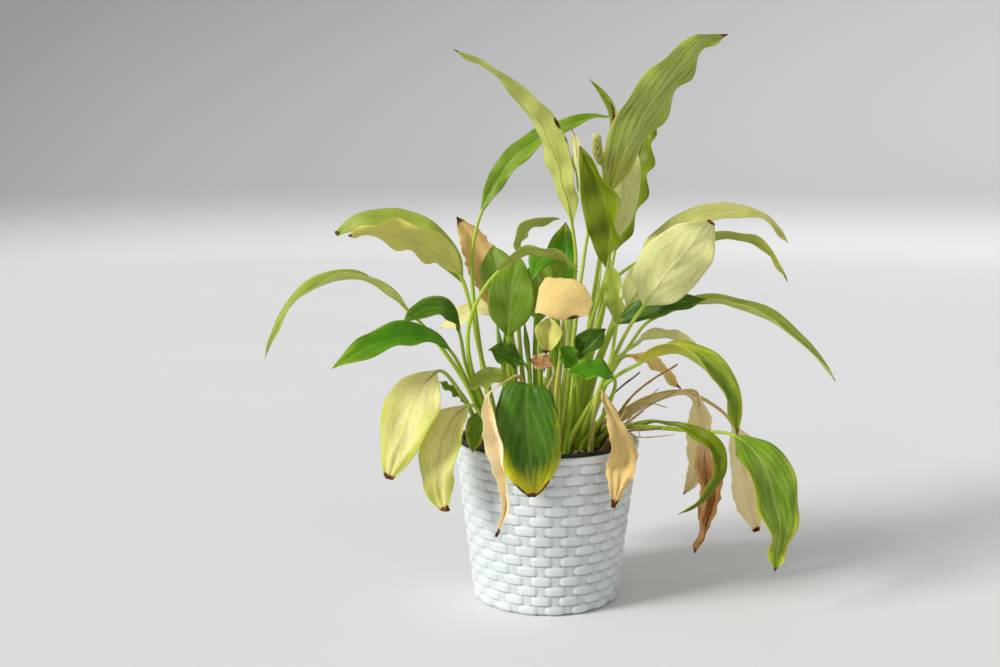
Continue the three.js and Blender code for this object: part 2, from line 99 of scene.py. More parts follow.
# How scorched a place is: where a tip or a burnt margin starts and how far it rises, and how a spot
# falls off from its middle. A spot is drawn out across the leaf.
TIP_START = 0.5
TIP_RISE = 0.5
BURN_START = 0.35
BURN_RISE = 0.45
SPOT_START = 1.1
SPOT_FALL = 0.6
SPOT_SQUEEZE = 0.2
SCORCH_MOST = 1.2
# Ragged margins are two waves along the blade, shifted on each side.
RAGGED_LONG = 13
RAGGED_SHORT = 29
RAGGED_SIDES = (0.4, 2.1)
# Relief fades out over these shares at the foot and the tip.
FLAT_FOOT = 0.15
FLAT_TIP = 0.08
VEINS = 4
VEIN_SWEEP = 0.95
VEIN_BEND = 1.5
VEINS_SHOW = (4 * MM, 9 * MM)
# Powers of the share across a blade: the higher, the closer a change keeps to the margin.
WAVE_REACH = 2.5
EDGE_REACH = 3
VEIN_REACH = 4
THINNER_REACH = 6
# Each drift: how far waves or pleats stray from an even spacing, and how often.
WAVE_DRIFT = (1.3, 5)
CRINKLE_WAVES = 7
CRINKLE_PITCH = 0.32
PLEATS = 9
PLEAT_DRIFT = (2, 4)
PLEATS_OVER = (0.2, 0.6)
COIL_TIGHTNESS = 1.2
COIL_EARLY = 0.01

# Petioles, and the midribs that they go on as.
STEM_STEP = 2.5 * MM
STEM_SIDES = 10
STEM_FOOT = 2.75 * MM
STEM_MIDDLE = 1.9 * MM
STEM_TOP = 1.25 * MM
STEM_WAIST = 0.45
RIB_START = 0.5 * MM
RIB_END = 0.2 * MM
RIB_TAPER = 0.15
RIB_SINK = 0.3
RIB_SINK_END = 0.3
RIB_SKIP = 4
RIB_LEAFY = 0.9
RIB_LEAFY_OVER = (0.0, 0.3)
RIB_LINES_OVER = (0.0, 0.1)
ROOT_DEPTH = 5 * MM

# Each paint: upper side, under side, veins, what it ages to, and its stem; then how rough it is, and
# how much light goes into the leaf and comes out again.
PAINTS = {
    "fresh": [(112, 150, 16), (164, 178, 76), (200, 208, 122), (216, 204, 60), (176, 204, 62), 0.38, 0.2],
    "deep": [(72, 134, 2), (150, 176, 60), (132, 176, 52), (206, 198, 40), (164, 196, 54), 0.34, 0.2],
    "dark": [(60, 106, 4), (140, 162, 48), (138, 170, 70), (214, 206, 30), (160, 192, 54), 0.34, 0.1],
    "olive": [(112, 130, 4), (156, 166, 60), (134, 150, 50), (204, 190, 60), (168, 194, 60), 0.38, 0.15],
    "lime": [(152, 168, 58), (200, 206, 110), (204, 208, 116), (220, 212, 110), (192, 210, 80), 0.44, 0.35],
    "pale": [(202, 204, 110), (230, 230, 158), (240, 236, 176), (234, 222, 150), (200, 212, 96), 0.5, 0.4],
    "yellow": [(240, 228, 168), (236, 224, 158), (208, 206, 96), (194, 202, 62), (180, 196, 80), 0.5, 0.7],
    "cream": [(248, 228, 184), (248, 224, 180), (234, 204, 152), (246, 212, 162), (214, 188, 118),
              0.78, 0.7],
    "tan": [(236, 206, 134), (220, 186, 126), (206, 168, 110), (206, 162, 104), (190, 190, 90), 0.78, 0.5],
    "brown": [(208, 154, 92), (196, 144, 88), (140, 88, 44), (236, 196, 152), (226, 206, 150), 0.7, 0.4],
}
GLOW_RADIUS = (1.0, 1.0, 0.4)
GLOW_DEPTH = 1.2 * MM
# Each leaf's streaks are read from a place of its own, up to this far off.
STREAK_SEEDS = 50
SCORCH = (122, 74, 34)
SCORCH_DARK = (34, 20, 12)
SCORCH_BROWNS = (0.36, 0.5)
SCORCH_BLACKENS = (0.55, 0.85)
SCORCH_ROUGHNESS = 0.85

# How a leaf departs from a plain one. Lengths are in millimetres, shares run from 0 to 1:
# age yellows the whole blade, edge its margins, near its foot end and far its tip end; tip is the
# scorched share of its length and burn the scorched share of each half's width near the tip; wave
# lifts the margins, waves times along each side; crinkle crumples it; coil rolls up the last share
# of its length, coil_size across; ribs is how far it swells between veins, and lines both how pale
# they are and how dark its painted shade in streaks is; pleats are lengthwise folds; slim narrows
# the tip half, thin the foot half, and full widens the tip half; ragged is the share of its width
# that its margins have lost here and there; cut is the share at which a torn tip ends; spots are
# scorched places [along, across, size].
PLAIN = dict(
    paint="fresh", age=0.1, edge=0.15, near=0.0, far=0.1, tip=0.0, burn=0.0, wave=1.6, waves=2.5,
    crinkle=0.8, coil=0.0, coil_size=2.0, ribs=0.5, lines=0.25, pleats=0.0, slim=0.0, thin=0.0, full=0.0,
    ragged=0.0, cut=BLADE_END, spots=[],
)
LEAF_LOOKS = {
    "tall_left_leaf": dict(
        paint="lime", age=0.0, wave=2.0, tip=0.02, slim=0.4, lines=0.0,
        spots=[[0.47, -0.95, 0.026], [0.39, -1.0, 0.014]],
    ),
    "tall_right_leaf": dict(
        age=0.05, wave=3.4, waves=3.5, tip=0.03, near=0.4, lines=0.9, ribs=0.8, crinkle=1.0,
    ),
    "wavy_back_leaf": dict(paint="olive", wave=5.0, waves=3.5, age=0.08, edge=0.25, tip=0.025),
    "pale_back_leaf": dict(paint="pale", wave=3.0, tip=0.025),
    "folded_dark_leaf": dict(
        paint="olive", age=0.06, edge=0.2, wave=2.6, waves=3.0, crinkle=1.4, lines=0.4, tip=0.025,
    ),
    "pale_upright_leaf": dict(paint="pale", age=0.3, tip=0.025),
    "left_riser_leaf": dict(wave=2.0, waves=4.0, tip=0.025),
    "upper_left_top_leaf": dict(paint="lime", wave=1.5, tip=0.03, age=0.0, coil=0.05, coil_size=3.0),
    "upper_left_under_leaf": dict(paint="lime", wave=3.0, waves=3.0, tip=0.03, age=0.6, lines=0.3),
    "long_left_leaf": dict(paint="lime", wave=1.5, crinkle=1.2),
    "dark_left_upper_leaf": dict(paint="dark", far=0.0, crinkle=0.9, edge=0.25),
    "dark_left_lower_leaf": dict(paint="deep", far=0.25, crinkle=1.0, lines=0.15),
    "yellow_hang_left_leaf": dict(
        paint="yellow", age=0.3, edge=0.5, tip=0.08, wave=2.0, ribs=0.6, pleats=0.5, slim=0.22, cut=0.95,
        crinkle=1.4, lines=0.4,
    ),
    "yellow_hang_low_leaf": dict(
        paint="yellow", age=0.34, edge=0.4, tip=0.09, wave=2.5, coil=0.1, coil_size=5.0, crinkle=1.4,
        pleats=0.4, slim=0.1, lines=0.4, ragged=0.07,
    ),
    "small_hang_leaf": dict(edge=0.5),
    "small_left_leaf": dict(),
    "cream_hang_left_leaf": dict(
        paint="cream", tip=0.09, crinkle=1.0, ribs=0.15, slim=0.4, coil=0.06, coil_size=4.5, wave=1.2,
        ragged=0.16,
    ),
    "big_front_leaf": dict(
        paint="dark", age=0.03, edge=0.45, far=0.7, tip=0.05, burn=0.3, ribs=1.1, lines=0.38, full=0.2,
        cut=0.975, crinkle=1.2, wave=2.2, ragged=0.04,
    ),
    "olive_mid_leaf": dict(paint="lime", age=0.2),
    "cream_hang_right_leaf": dict(
        paint="tan", tip=0.1, crinkle=2.0, wave=3.0, ribs=0.3, age=0.25, coil=0.06, coil_size=4.5,
        pleats=0.8, slim=0.3, thin=0.55, lines=0.1, ragged=0.12,
    ),
    "right_low_curl_leaf": dict(paint="olive", age=0.0, edge=0.1, thin=0.6, slim=0.3, tip=0.02, wave=2.0),
    "right_big_hang_leaf": dict(
        age=0.14, edge=0.38, tip=0.03, wave=3.4, waves=3.0, ribs=0.7, far=0.15, lines=0.4, crinkle=1.2,
        slim=0.15,
    ),
    "dry_brown_hang_leaf": dict(
        paint="brown", crinkle=2.2, wave=2.4, ribs=0.2, tip=0.04, near=0.9, pleats=2.6, far=-0.2, lines=0.8,
        age=0.05, slim=0.25, ragged=0.22,
    ),
    "cream_back_1_leaf": dict(paint="cream", crinkle=1.5, age=0.3, lines=0.1, ragged=0.12, tip=0.025),
    "cream_back_2_leaf": dict(
        paint="cream", crinkle=1.5, tip=0.06, age=0.3, coil=0.05, lines=0.1, ragged=0.12,
    ),
    "right_arch_leaf": dict(age=0.26, edge=0.3, far=0.0, tip=0.04, near=0.45),
    "right_arch_back_leaf": dict(paint="pale", age=0.4, tip=0.025),
    "dark_right_leaf": dict(paint="dark"),
    "long_right_leaf": dict(paint="lime", tip=0.02),
    "pale_face_leaf": dict(
        paint="pale", tip=0.045, wave=2.4, ribs=0.8, lines=0.5, cut=0.97, age=-0.1, crinkle=1.2,
    ),
    "pale_top_right_leaf": dict(paint="pale", wave=2.0),
    "thin_right_leaf": dict(age=0.3, tip=0.04),
    "pale_mid_right_leaf": dict(paint="pale"),
    "bud_leaf": dict(paint="lime", ribs=0.2),
    "tan_center_leaf": dict(
        paint="tan", crinkle=0.9, tip=0.05, ribs=0.15, lines=0.0, full=0.5, ragged=0.05, cut=0.94,
        spots=[[0.8, 1.0, 0.05]],
    ),
    "arch_green_leaf": dict(),
    "broad_left_leaf": dict(age=0.0),
    "broad_mid_leaf": dict(age=0.0),
    "broad_right_leaf": dict(paint="deep"),
    "curl_top_leaf": dict(paint="lime"),
    "olive_back_leaf": dict(paint="deep", far=0.3),
    "pink_dry_leaf": dict(paint="tan", tip=0.06, crinkle=1.2, age=0.4, ragged=0.18),
    "pale_left_back_leaf": dict(paint="yellow"),
    "cream_fold_leaf": dict(paint="lime", tip=0.08, age=0.45),
    "dark_low_leaf": dict(paint="dark", crinkle=1.2),
    "green_low_leaf": dict(paint="deep"),
    "green_flat_leaf": dict(paint="deep"),
    "dark_right_mid_leaf": dict(paint="dark", lines=0.6),
    "brown_bit_leaf": dict(paint="brown", crinkle=2.2, age=0.4, tip=0.1, ragged=0.3),
    "tan_behind_right_leaf": dict(paint="tan", tip=0.1, crinkle=1.0, ragged=0.15),
    "back_hang_leaf": dict(paint="lime", edge=0.4, tip=0.05),
    "back_rise_leaf": dict(tip=0.025),
}
HOOD_LOOK = dict(
    paint="lime", near=0.9, wave=0.4, ribs=0.1, crinkle=0.2,
    spots=[[0.62, 0.3, 0.06], [0.5, 0.0, 0.09], [0.36, -0.4, 0.06]],
)

# Pot: the moulded weave, its rim band and its plain inside.
WEAVE_ROWS = 15
WEAVE_COLUMNS = 34
WEAVE_RELIEF = 2.3 * MM
WEAVE_PHASE = math.radians(5.3)
WEAVE_SQUARENESS = 4
WEAVE_TOP = 0.9999
PILLOW_HALF = 0.73
UPRIGHT_HALF = 0.33
UPRIGHT_RELIEF = 0.42
ROW_STEPS = 10
COLUMN_STEPS = 12
RIM_BAND = 5.5 * MM
RIM_ROUND = 0.9 * MM
RIM_CORNER = 0.3 * RIM_ROUND
# The foot of the rim band, in millimetres: in from the rim, and up from the weave.
BAND_FOOT = [(1.6, 0.1), (1.6, 0.6), (0.4, 1.0), (0, 1.6)]
POT_WALL = 4.0 * MM
POT_FOOT_ROUND = 4 * MM
POT_FOOT_RING = 9 * MM
POT_HOLLOW = 0.8 * MM
POT_FLOOR = 3 * MM
POT_CORNER = 2 * MM
POT_LIP_DEPTH = 12 * MM
POT_LIP_INSET = 0.2 * MM
CENTRE_HOLE = 2 * MM
PLASTIC_TONES = [(222, 227, 226), (212, 219, 217)]
# The weave's grooves are painted towards this grey: painted shade in the recesses.
GROOVE_SHADE_TONE = (160, 168, 160)

# The grower's pot inside it, in millimetres: in from its rim, and up from its foot or down from its top.
LINER_FOOT = [(19, 0), (17.6, 1.5)]
LINER_LIP = [(1.3, 5), (0.2, 4.6), (0, 4), (0, 0.5), (0.4, 0), (1.6, 0), (2.2, 0.7), (2.6, 6)]
LINER_FLOOR = 2 * MM
LINER_SIDES = 96
LINER_TONES = [(14, 14, 14), (30, 29, 27)]

# Soil. Its lumps, clods and grit: height, number of waves and how fine they are.
SOIL_RINGS = 64
SOIL_SIDES = 160
SOIL_CENTRE = 0.01
SOIL_OVERLAP = 0.2 * MM
SOIL_DROP = 0.6 * MM
SOIL_EDGE_DROP = 1.6 * MM
SOIL_EDGE_OVER = (0.8, 1.0)
SOIL_ROUGHNESS = 0.8
SOIL_LAYERS = [(1.2, 9, 0.28), (0.8, 12, 0.9), (0.5, 14, 2.2)]
SOIL_UNDER = [0.98, 0.98, 1]
SOIL_DEPTH = 12 * MM
SOIL_TONES = [(20, 13, 9), (58, 40, 26)]
SOIL_CRUMBS = (96, 70, 44)

# Flower: its stalk, and the small round flowers over its spike.
SPIKE_BUMPS = 84
SPIKE_SWELLS = 1.3
SPIKE_SLIM = 0.93
BUMP_RADIUS = 1.5 * MM
BUMP_PLACE = 0.85
BUMP_ROWS = 5
BUMP_SIDES = 8
BUMP_CAP = 0.12
SPENT_EVERY = 7
SPENT_SHARE = 0.35
GOLDEN_TURN = math.pi * (3 - math.sqrt(5))
SPIKE_TONES = [(240, 238, 160), (214, 218, 112)]
SPIKE_SPENT = (118, 108, 52)

# Bare stalks: node, piece, light tone and dark tone.
STALKS = [
    ["brown_stalk", "bare_brown_stalk", (150, 110, 62), (92, 60, 34)],
    ["ochre_stalk", "bare_ochre_stalk", (196, 164, 92), (140, 104, 54)],
    ["rim_twig", "dry_twig", (206, 180, 128), (150, 112, 72)],
]
STALK_STEP = 1.5 * MM
STALK_TIP = 0.6
STALK_KNOBS = 0.12
STALK_WAVES = 6
STALK_PITCH = 0.8

# Slender things too many to have solids of their own.
# Young stems inside the clump, in millimetres: foot across and back, then tip across, back and up.
YOUNG_STEMS = [
    [-29, -5, -39, 20, 214], [-29, 6, -33, 24, 206], [-23, 17, -28, 34, 232], [-15, 4, -17, 28, 214],
    [-5, 15, -6, 36, 240], [-4, 6, -4, 22, 206], [1, 8, 10, 30, 222], [4, 2, 12, 14, 206],
    [0, 20, 8, 44, 236],
]
YOUNG_BEND = 0.45
YOUNG_BOW = 4
YOUNG_KNEES = [0, 0.7, 0.85, 1]
YOUNG_RADII = [2.2 * MM, 1.9 * MM, 2.47 * MM, 0.35 * MM]
YOUNG_AGE = 0.1
YOUNG_OPENS_OVER = (0.6, 0.8)
# Dry strands and roots, in millimetres: places on the way, across, back and up from the soil.
DRY_STRANDS = [
    [[38, -26, -2], [52, -34, 16], [72, -38, 34]],
    [[44, -18, -2], [56, -26, 20], [66, -34, 22], [70, -36, 14]],
    [[39, -37, -2], [44, -43, 12], [52, -46, 26], [58, -44, 36]],
    [[46, -3, -2], [72, -5, 26], [104, -8, 46]],
    [[47, -24, -2], [62, -28, 26], [84, -30, 50]],
    [[52, -22, -2], [60, -25, 30], [76, -22, 37], [92, -19, 33]],
    [[44, -30, -2], [51, -35, 13], [74, -44, 15], [94, -48, 18]],
    [[16, -44, -1], [22, -50, 6], [30, -50, 3], [36, -46, -1]],
    [[10, -48, -1], [18, -53, 4], [24, -49, 6], [28, -44, -1]],
]
STRAND_RADII = (0.98 * MM, 0.35 * MM)
STRAND_SIDES = 7
STRAND_TONES = [(206, 176, 120), (140, 100, 60)]

# Where most of a noise's values lie, and the wider range with nearly all of them.
NOISE_MIDDLE = (0.3, 0.7)
NOISE_WIDE = (0.2, 0.8)


# Small helpers

def colour(red, green, blue):
    """A colour given as the 0 to 255 values that a screen shows, as Blender's own linear one."""
    shown = np.array([red, green, blue]) / 255
    low = shown / 12.92
    high = ((shown + 0.055) / 1.055) ** 2.4
    return (*np.where(shown <= 0.04045, low, high).tolist(), 1.0)


def smooth(value, low, high):
    """A soft step from 0 at low to 1 at high."""
    share = np.clip((value - low) / (high - low), 0, 1)
    return share * share * (3 - 2 * share)


def unit(vectors):
    return vectors / np.maximum(np.linalg.norm(vectors, axis=-1, keepdims=True), TINY)


def curve(knots, values, places):
    """A smooth curve through values at knots, read at places."""
    knots = np.asarray(knots, float)
    flat = values.reshape(len(knots), -1)
    gaps = np.diff(knots)
    slopes = np.diff(flat, axis=0) / gaps[:, None]
    before, after = gaps[:-1, None], gaps[1:, None]
    inner = (slopes[:-1] * after + slopes[1:] * before) / (before + after)
    tangents = np.vstack([slopes[:1], inner, slopes[-1:]])
    i = np.clip(np.searchsorted(knots, places, side="right") - 1, 0, len(gaps) - 1)
    t = ((places - knots[i]) / gaps[i])[:, None]
    step = gaps[i][:, None]
    start = flat[i] * (1 + 2 * t) * (1 - t) ** 2 + tangents[i] * step * t * (1 - t) ** 2
    end = flat[i + 1] * t * t * (3 - 2 * t) + tangents[i + 1] * step * t * t * (t - 1)
    return (start + end).reshape(len(places), *values.shape[1:])


def lengths_along(points):
    """The distance along a line of points, at each of them."""
    return np.concatenate([[0], np.cumsum(np.linalg.norm(np.diff(points, axis=0), axis=1))])


def ripples(rng, a, b, count, finest):
    """A soft irregular wave over two coordinates, about -1 to 1."""
    total = np.zeros(np.broadcast(a, b).shape)
    for _ in range(count):
        turn = rng.uniform(0, FULL_TURN)
        pitch = rng.uniform(*RIPPLE_PITCHES) * finest
        total += np.sin(pitch * (math.cos(turn) * a + math.sin(turn) * b) + rng.uniform(0, ANY_PHASE))
    return total / math.sqrt(count)


# Mesh helpers

def put_in_scene(name, data):
    thing = bpy.data.objects.new(name, data)
    bpy.context.scene.collection.objects.link(thing)
    return thing


def make(name, points, faces, material, flags=None):
    """A smooth mesh object; flags are numbers kept on each point for the material to read."""
    mesh = bpy.data.meshes.new(name)
    mesh.from_pydata(points.tolist(), [], faces)
    mesh.polygons.foreach_set("use_smooth", [True] * len(mesh.polygons))
    for key, values in (flags or {}).items():
        layer = mesh.attributes.new(key, "FLOAT", "POINT")
        layer.data.foreach_set("value", np.asarray(values, np.float32))
    mesh.materials.append(material)
    mesh.validate()
    return put_in_scene(name, mesh)


def stand_for(node, name, points, faces, material, flags=None):
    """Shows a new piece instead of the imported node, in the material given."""
    piece = make(name, points, faces, material, flags)
    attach(piece, "root")
    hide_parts(node)


def round_angles(sides):
    return np.linspace(0, FULL_TURN, sides, endpoint=False)


def grid_faces(rows, columns, first=0, wrap=False):
    """Quads over a grid of points numbered row by row."""
    i = np.arange(rows - 1)[:, None]
    j = np.arange(columns if wrap else columns - 1)[None, :]
    k = (j + 1) % columns
    ahead = i + 1
    quads = [i * columns + j, i * columns + k, ahead * columns + k, ahead * columns + j]
    return (np.stack(quads, -1).reshape(-1, 4) + first).tolist()


def closed(faces, count, sides):
    """The faces over rings of points, count in all, with both open ends capped."""
    return [*faces, list(range(sides - 1, -1, -1)), list(range(count - sides, count))]


def joined(meshes):
    """The points and faces of several meshes as those of one."""
    points, faces = [], []
    first = 0
    for part, part_faces in meshes:
        points.append(part)
        faces += [[first + i for i in face] for face in part_faces]
        first += len(part)
    return np.concatenate(points), faces


def tube(path, radii, sides):
    """Points and faces of a closed round tube along path."""
    along = unit(np.gradient(path, axis=0))
    across = np.zeros_like(path)
    side = unit(np.cross(along[0], ASKEW))
    for i, direction in enumerate(along):
        side = unit(side - direction * side.dot(direction))
        across[i] = side
    up = np.cross(along, across)
    angles = round_angles(sides)[None, :, None]
    ring = across[:, None] * np.cos(angles) + up[:, None] * np.sin(angles)
    points = (path[:, None] + ring * np.asarray(radii)[:, None, None]).reshape(-1, 3)
    return points, closed(grid_faces(len(path), sides, wrap=True), len(points), sides)


def turned(radius, height, sides):
    """Points and faces of a wall turned about the upright axis: its radius and height, row by row."""
    angles = round_angles(sides)
    x = radius * np.sin(angles)
    y = -radius * np.cos(angles)
    z = np.broadcast_to(height, x.shape)
    return np.stack([x, y, z], -1).reshape(-1, 3), grid_faces(len(x), sides, wrap=True)


def columns_of(profile):
    """The radius and the height of each (radius, height) pair, one row each."""
    pairs = np.array(profile)
    return pairs[:, :1], pairs[:, 1:]


def even_places(measure, step):
    """Distances along a measured line, about a step apart."""
    return np.linspace(0, measure[-1], int(measure[-1] / step))


def smooth_path(knots, step):
    """A smooth line through knots, with a place at about every step."""
    measure = lengths_along(knots)
    return curve(measure, knots, even_places(measure, step))


# Material helpers

def new_material(name):
    material = bpy.data.materials.new(name)
    material.use_nodes = True
    return material, material.node_tree


def set_inputs(tree, node, inputs):
    """Links or sets each input of a shader node."""
    for key, value in inputs.items():
        if isinstance(value, bpy.types.NodeSocket):
            tree.links.new(value, node.inputs[key])
        else:
            node.inputs[key].default_value = value


def add(tree, kind, inputs, **settings):
    node = tree.nodes.new(kind)
    for key, value in settings.items():
        setattr(node, key, value)
    set_inputs(tree, node, inputs)
    return node


def maths(tree, operation, a, b=0.0):
    return add(tree, "ShaderNodeMath", {0: a, 1: b}, operation=operation).outputs[0]


def times(tree, a, b):
    return maths(tree, "MULTIPLY", a, b)


def mix(tree, factor, a, b):
    return add(tree, "ShaderNodeMix", {0: factor, 6: a, 7: b}, data_type="RGBA").outputs[2]


def between(tree, value, low, high, start=0.0, end=1.0):
    """A soft step from start, where value is low, to end, where it is high."""
    inputs = {"Value": value, "From Min": low, "From Max": high, "To Min": start, "To Max": end}
    return add(tree, "ShaderNodeMapRange", inputs, interpolation_type="SMOOTHSTEP").outputs[0]


def flag(tree, key):
    """A number that the mesh keeps on each point."""
    return add(tree, "ShaderNodeAttribute", {}, attribute_name=key).outputs["Fac"]


def place_in_object(tree):
    return add(tree, "ShaderNodeTexCoord", {}).outputs["Object"]


def noise(tree, scale, detail=3.0, rough=0.55, vector=None):
    place = vector or place_in_object(tree)
    inputs = {"Vector": place, "Scale": scale, "Detail": detail, "Roughness": rough}
    return add(tree, "ShaderNodeTexNoise", inputs).outputs["Fac"]


def bump(tree, height, strength, distance):
    inputs = {"Height": height, "Strength": strength, "Distance": distance}
    return add(tree, "ShaderNodeBump", inputs).outputs["Normal"]


def finished(material, tone, rough, **more):
    """The material with its colour, its roughness and more of the shader's inputs by name."""
    tree = material.node_tree
    inputs = {key.replace("_", " "): value for key, value in more.items()}
    inputs.update({"Base Color": tone, "Roughness": rough})
    set_inputs(tree, tree.nodes["Principled BSDF"], inputs)
    return material


def blended(tree, factor, tones):
    """The first tone where factor is 0, the second where it is 1."""
    return mix(tree, factor, colour(*tones[0]), colour(*tones[1]))


# Materials

def vein_mask(tree, along, across):
    """Bright lines where the side veins run, sweeping from the midrib to the margin."""
    reach = maths(tree, "POWER", maths(tree, "ABSOLUTE", across), VEIN_BEND)
    swept = maths(tree, "SUBTRACT", along, times(tree, reach, VEIN_SWEEP))
    phase = maths(tree, "FRACT", times(tree, swept, float(VEINS)))
    distance = maths(tree, "ABSOLUTE", maths(tree, "SUBTRACT", phase, 0.5))
    veins = between(tree, distance, 0.2, 0.5)
    return times(tree, veins, flag(tree, "open"))


def streak_noise(tree, along, across):
    """Noise drawn out along the leaf, and different on each leaf."""
    inputs = {
        0: times(tree, along, 4.0),
        1: times(tree, across, 5.0),
        2: flag(tree, "seed"),
    }
    vector = add(tree, "ShaderNodeCombineXYZ", inputs).outputs[0]
    return noise(tree, 1.0, 2.0, 0.6, vector)


def around_zero(tree, value, size):
    """A noise moved to swing about zero, and scaled."""
    return times(tree, maths(tree, "SUBTRACT", value, 0.5), size)


def living_tone(tree, tones, along, across, veins):
    """The leaf's colour before any scorching: both sides, mottles, painted streak shade, ageing, veins and
    stem.
    """
    upper, under, vein, aged, stem = (colour(*tone) for tone in tones)
    lines = flag(tree, "lines")
    mottle = noise(tree, 60.0, 4.0)
    streaks = streak_noise(tree, along, across)
    tone = mix(tree, flag(tree, "under"), upper, under)
    tone = mix(tree, between(tree, mottle, 0.35, 0.8, 0.0, 0.24), tone, vein)
    # Painted shade: dark streaks along the leaf, as strong as its lines.
    shaded = times(tree, between(tree, streaks, 0.3, 0.5, 0.4, 0.0), lines)
    tone = mix(tree, shaded, tone, BLACK)
    age = maths(tree, "ADD", flag(tree, "age"), around_zero(tree, streaks, 0.9))
    tone = mix(tree, between(tree, age, 0.15, 0.85), tone, aged)
    midrib = between(tree, maths(tree, "ABSOLUTE", across), 0.03, 0.11, 1.0, 0.0)
    pale = maths(tree, "MAXIMUM", times(tree, veins, 0.45), midrib)
    tone = mix(tree, times(tree, pale, lines), tone, vein)
    return mix(tree, flag(tree, "stem"), tone, stem)


def leaf_material(name, paint):
    """The look of every leaf in one paint. The flags on each leaf say where it is aged or scorched."""
    material, tree = new_material(name)
    along, across = flag(tree, "along"), flag(tree, "across")
    grain = noise(tree, 650.0)
    blotches = noise(tree, 240.0, 4.0, 0.6)
    pores = noise(tree, 200.0, 1.0)
    veins = vein_mask(tree, along, across)
    burnt = maths(tree, "ADD", flag(tree, "scorch"), around_zero(tree, blotches, 0.5))
    *tones, living_rough, glow = PAINTS[paint]
    tone = living_tone(tree, tones, along, across, veins)
    tone = mix(tree, between(tree, burnt, *SCORCH_BROWNS), tone, colour(*SCORCH))
    tone = mix(tree, between(tree, burnt, *SCORCH_BLACKENS), tone, colour(*SCORCH_DARK))
    tone = mix(tree, between(tree, grain, 0.25, 0.75, 0.86, 1.0), BLACK, tone)
    rough = between(tree, burnt, 0.35, 0.6, living_rough, SCORCH_ROUGHNESS)
    rough = maths(tree, "ADD", rough, times(tree, grain, 0.12))
    relief = maths(tree, "SUBTRACT", pores, times(tree, veins, 0.5))
    return finished(
        material, tone, rough, Normal=bump(tree, relief, 0.25, 0.3 * MM), Subsurface_Weight=glow,
        Subsurface_Radius=GLOW_RADIUS, Subsurface_Scale=GLOW_DEPTH, Specular_IOR_Level=0.22,
    )


def pot_material():
    material, tree = new_material("white_plastic")
    fine, wide = noise(tree, 900.0, 2.0), noise(tree, 28.0)
    tone = blended(tree, between(tree, wide, *NOISE_MIDDLE), PLASTIC_TONES)
    # Painted shade: the deeper a place lies in a groove, the more it is darkened.
    painted_groove_shade = between(tree, flag(tree, "groove"), 0.2, 1.0, 0.0, 0.45)
    tone = mix(tree, painted_groove_shade, tone, colour(*GROOVE_SHADE_TONE))
    rough = between(tree, wide, 0.25, 0.75, 0.34, 0.46)
    grain = bump(tree, fine, 0.12, 0.1 * MM)
    return finished(material, tone, rough, Normal=grain, Subsurface_Weight=0.08, Subsurface_Scale=1.5 * MM)


def liner_material():
    material, tree = new_material("black_plastic")
    wide, fine = noise(tree, 60.0, 4.0), noise(tree, 700.0, 2.0)
    tone = blended(tree, between(tree, wide, 0.35, 0.7), LINER_TONES)
    rough = between(tree, wide, *NOISE_MIDDLE, 0.35, 0.6)
    return finished(material, tone, rough, Normal=bump(tree, fine, 0.15, 0.15 * MM))


def soil_material():
    material, tree = new_material("potting_soil")
    wide, fine = noise(tree, 160.0, 5.0, 0.7), noise(tree, 900.0, 4.0, 0.7)
    tone = blended(tree, between(tree, wide, *NOISE_MIDDLE), SOIL_TONES)
    tone = mix(tree, between(tree, fine, 0.62, 0.72), tone, colour(*SOIL_CRUMBS))
    rough = between(tree, wide, *NOISE_WIDE, 0.8, 1.0)
    return finished(material, tone, rough, Normal=bump(tree, fine, 0.7, 0.8 * MM))


def dry_material(name, light, dark):
    """Dry stalks, roots and husks: finely streaked, with dark patches."""
    material, tree = new_material(name)
    streak = noise(tree, 420.0, 5.0, 0.7)
    wide = noise(tree, 55.0)
    tone = blended(tree, between(tree, streak, *NOISE_MIDDLE), [light, dark])
    tone = mix(tree, between(tree, wide, 0.55, 0.8, 0.0, 0.6), tone, colour(*dark))
    rough = between(tree, wide, *NOISE_WIDE, 0.65, 0.85)
    return finished(material, tone, rough, Normal=bump(tree, streak, 0.5, 0.3 * MM))


def spike_material():
    material, tree = new_material("flower_spike")
    fine, wide = noise(tree, 600.0), noise(tree, 90.0)
    tone = blended(tree, between(tree, wide, *NOISE_MIDDLE), SPIKE_TONES)
    tone = mix(tree, flag(tree, "scorch"), tone, colour(*SPIKE_SPENT))
    rough = between(tree, fine, *NOISE_MIDDLE, 0.5, 0.7)
    return finished(material, tone, rough, Normal=bump(tree, fine, 0.3, 0.2 * MM))


def floor_material():
    material, tree = new_material("pale_floor")
    wide = noise(tree, 3.0)
    tone = blended(tree, wide, FLOOR_TONES)
    height = add(tree, "ShaderNodeSeparateXYZ", {0: place_in_object(tree)}).outputs["Z"]
    # Painted shade: the floor darkens as it rises into the wall.
    tone = mix(tree, between(tree, height, *FLOOR_SHADE_RISE), tone, colour(*FLOOR_WALL_SHADE))
    rough = between(tree, wide, *NOISE_WIDE, 0.82, 0.9)
    return finished(material, tone, rough, Specular_IOR_Level=0.15)


# Reading a leaf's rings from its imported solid

def solid_of(node):
    """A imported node's points, joined where they share a place, and who neighbours whom."""
    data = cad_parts[node].data
    places = np.array([v.co for v in data.vertices])
    keys = np.round(places / MERGE).astype(np.int64)
    _, first, index = np.unique(keys, axis=0, return_index=True, return_inverse=True)
    index = index.reshape(-1)
    near = {i: set() for i in range(len(first))}
    for edge in data.edges:
        a, b = (int(index[v]) for v in edge.vertices)
        if a != b:
            near[a].add(b)
            near[b].add(a)
    return places[first], near


def round_trip(ring, near):
    """The ring's members in order around it."""
    order = [min(ring)]
    while len(order) < len(ring):
        options = [p for p in near[order[-1]] if p in ring and p not in order]
        order.append(min(options))
    return order


